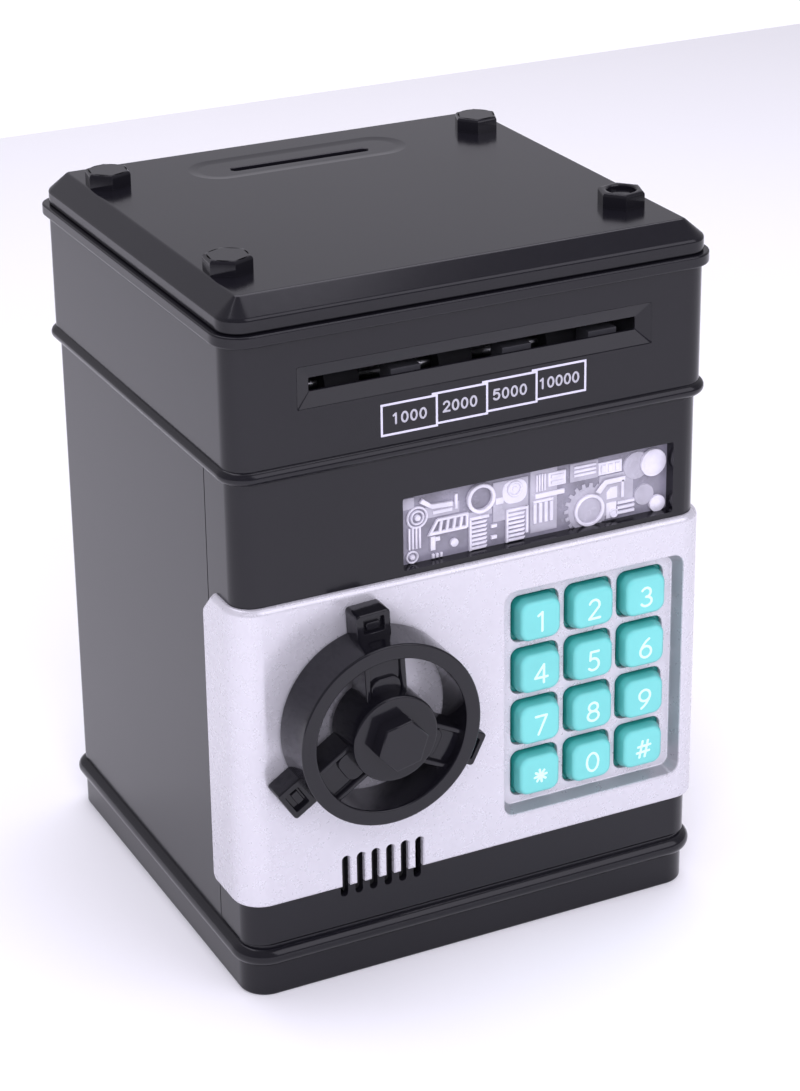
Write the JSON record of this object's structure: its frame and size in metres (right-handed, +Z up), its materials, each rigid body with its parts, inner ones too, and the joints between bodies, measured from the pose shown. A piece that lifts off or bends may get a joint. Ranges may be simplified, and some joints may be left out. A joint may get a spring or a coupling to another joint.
{
  "type": "toy cash machine money box",
  "caption": "Toy cash-machine money box with a hinged keypad door, handwheel lock, motor-driven banknote slot and coin slot in the lid.",
  "frame": {"origin": "centre of the casing's underside, on the table", "axes": "+Z up, front (keypad door) towards -Y, +X to the right seen from the front"},
  "size_m": [0.1332, 0.1413, 0.1877],
  "materials": {
    "casing": "semi-gloss moulded charcoal",
    "silver_plastic": "painted pale silver, satin",
    "key_plastic": "satin moulded teal",
    "relief_plastic": "frosted, lets light through",
    "inner_plastic": "matt moulded",
    "steel": "zinc plated",
    "gear_plastic": "matt natural",
    "rubber": "matt",
    "circuit_board": "green solder mask",
    "led_lens": "clear domed",
    "speaker_cone": "matt"
  },
  "bodies": {
    "case": {"lid": "casing", "lid_bolts": "casing", "head_casing": "casing", "body_shell": "casing", "base_tray": "casing", "base_screws": "steel", "hinge_pins": "steel", "strike_plate": "steel", "feed_chassis": "inner_plastic", "chassis_screws": "steel", "lower_bill_guide": "inner_plastic", "upper_bill_guide": "inner_plastic", "bill_drop_guide": "inner_plastic", "bill_sensor": "circuit_board", "coin_chute": "inner_plastic", "feed_motor": "steel"},
    "door": {"door_panel": "casing", "door_overlay": "silver_plastic", "window_relief": "relief_plastic", "window_reflector": "relief_plastic", "main_board": "circuit_board", "window_leds": "led_lens", "keypad_mat": "rubber", "keypad_board": "circuit_board", "speaker": "speaker_cone", "bolt_guides": "inner_plastic", "solenoid": "steel", "battery_box": "inner_plastic", "battery_contacts": "steel", "door_back_cover": "inner_plastic", "door_screws": "steel"},
    "wheel": {"handwheel": "casing", "wheel_shaft": "steel", "lock_pinion": "gear_plastic"},
    "bolt": {"lock_bolt": "steel"},
    "plunger": {"solenoid_plunger": "steel"},
    "battery_door": {"battery_cover": "inner_plastic"},
    "drive_rollers": {"feed_drive_shaft": "steel", "feed_drive_rollers": "rubber", "feed_drive_gear": "gear_plastic"},
    "pinch_rollers_body": {"pinch_shaft": "steel", "pinch_rollers": "rubber"},
    "idler": {"feed_idler_gear": "gear_plastic"},
    "pinion": {"motor_pinion": "gear_plastic"},
    "key_1_cap": {"key_1": "key_plastic"},
    "key_2_cap": {"key_2": "key_plastic"},
    "key_3_cap": {"key_3": "key_plastic"},
    "key_4_cap": {"key_4": "key_plastic"},
    "key_5_cap": {"key_5": "key_plastic"},
    "key_6_cap": {"key_6": "key_plastic"},
    "key_7_cap": {"key_7": "key_plastic"},
    "key_8_cap": {"key_8": "key_plastic"},
    "key_9_cap": {"key_9": "key_plastic"},
    "key_star_cap": {"key_star": "key_plastic"},
    "key_0_cap": {"key_0": "key_plastic"},
    "key_hash_cap": {"key_hash": "key_plastic"}
  },
  "joints": [
    {"name": "door_hinge", "type": "hinge", "parent": "case", "child": "door", "pos_m": [0.0646, -0.041, 0.076], "axis": [0, 0, 1], "range_deg": [0, 105]},
    {"name": "wheel_turn", "type": "hinge", "parent": "door", "child": "wheel", "pos_m": [-0.0309, -0.0675, 0.0734], "axis": [0, 1, 0], "range_deg": [0, 60]},
    {"name": "bolt_slide", "type": "slide", "parent": "door", "child": "bolt", "axis": [-1, 0, 0], "range_m": [0, 0.0063]},
    {"name": "plunger_pull", "type": "slide", "parent": "door", "child": "plunger", "axis": [0, 0, -1], "range_m": [0, 0.003], "stiffness_N_per_m": 60},
    {"name": "battery_cover_slide", "type": "slide", "parent": "door", "child": "battery_door", "axis": [0, 0, 1], "range_m": [0, 0.046]},
    {"name": "drive_roller_turn", "type": "hinge", "parent": "case", "child": "drive_rollers", "pos_m": [0, -0.041, 0.1536], "axis": [1, 0, 0], "continuous": true},
    {"name": "pinch_roller_turn", "type": "hinge", "parent": "case", "child": "pinch_rollers_body", "pos_m": [0, -0.041, 0.1653], "axis": [1, 0, 0], "continuous": true},
    {"name": "idler_turn", "type": "hinge", "parent": "case", "child": "idler", "pos_m": [0, -0.0202, 0.1536], "axis": [1, 0, 0], "continuous": true},
    {"name": "motor_turn", "type": "hinge", "parent": "case", "child": "pinion", "pos_m": [0, -0.005, 0.1536], "axis": [1, 0, 0], "continuous": true},
    {"name": "key_1_press", "type": "slide", "parent": "door", "child": "key_1_cap", "axis": [0, 1, 0], "range_m": [0, 0.0012], "stiffness_N_per_m": 500},
    {"name": "key_2_press", "type": "slide", "parent": "door", "child": "key_2_cap", "axis": [0, 1, 0], "range_m": [0, 0.0012], "stiffness_N_per_m": 500},
    {"name": "key_3_press", "type": "slide", "parent": "door", "child": "key_3_cap", "axis": [0, 1, 0], "range_m": [0, 0.0012], "stiffness_N_per_m": 500},
    {"name": "key_4_press", "type": "slide", "parent": "door", "child": "key_4_cap", "axis": [0, 1, 0], "range_m": [0, 0.0012], "stiffness_N_per_m": 500},
    {"name": "key_5_press", "type": "slide", "parent": "door", "child": "key_5_cap", "axis": [0, 1, 0], "range_m": [0, 0.0012], "stiffness_N_per_m": 500},
    {"name": "key_6_press", "type": "slide", "parent": "door", "child": "key_6_cap", "axis": [0, 1, 0], "range_m": [0, 0.0012], "stiffness_N_per_m": 500},
    {"name": "key_7_press", "type": "slide", "parent": "door", "child": "key_7_cap", "axis": [0, 1, 0], "range_m": [0, 0.0012], "stiffness_N_per_m": 500},
    {"name": "key_8_press", "type": "slide", "parent": "door", "child": "key_8_cap", "axis": [0, 1, 0], "range_m": [0, 0.0012], "stiffness_N_per_m": 500},
    {"name": "key_9_press", "type": "slide", "parent": "door", "child": "key_9_cap", "axis": [0, 1, 0], "range_m": [0, 0.0012], "stiffness_N_per_m": 500},
    {"name": "key_star_press", "type": "slide", "parent": "door", "child": "key_star_cap", "axis": [0, 1, 0], "range_m": [0, 0.0012], "stiffness_N_per_m": 500},
    {"name": "key_0_press", "type": "slide", "parent": "door", "child": "key_0_cap", "axis": [0, 1, 0], "range_m": [0, 0.0012], "stiffness_N_per_m": 500},
    {"name": "key_hash_press", "type": "slide", "parent": "door", "child": "key_hash_cap", "axis": [0, 1, 0], "range_m": [0, 0.0012], "stiffness_N_per_m": 500}
  ],
  "couplings": [
    {"joint": "bolt_slide", "follows": "wheel_turn", "m_per_rad": 0.006},
    {"joint": "pinch_roller_turn", "follows": "drive_roller_turn", "ratio": -1.28},
    {"joint": "idler_turn", "follows": "drive_roller_turn", "ratio": -0.85714},
    {"joint": "motor_turn", "follows": "drive_roller_turn", "ratio": 2.4}
  ]
}
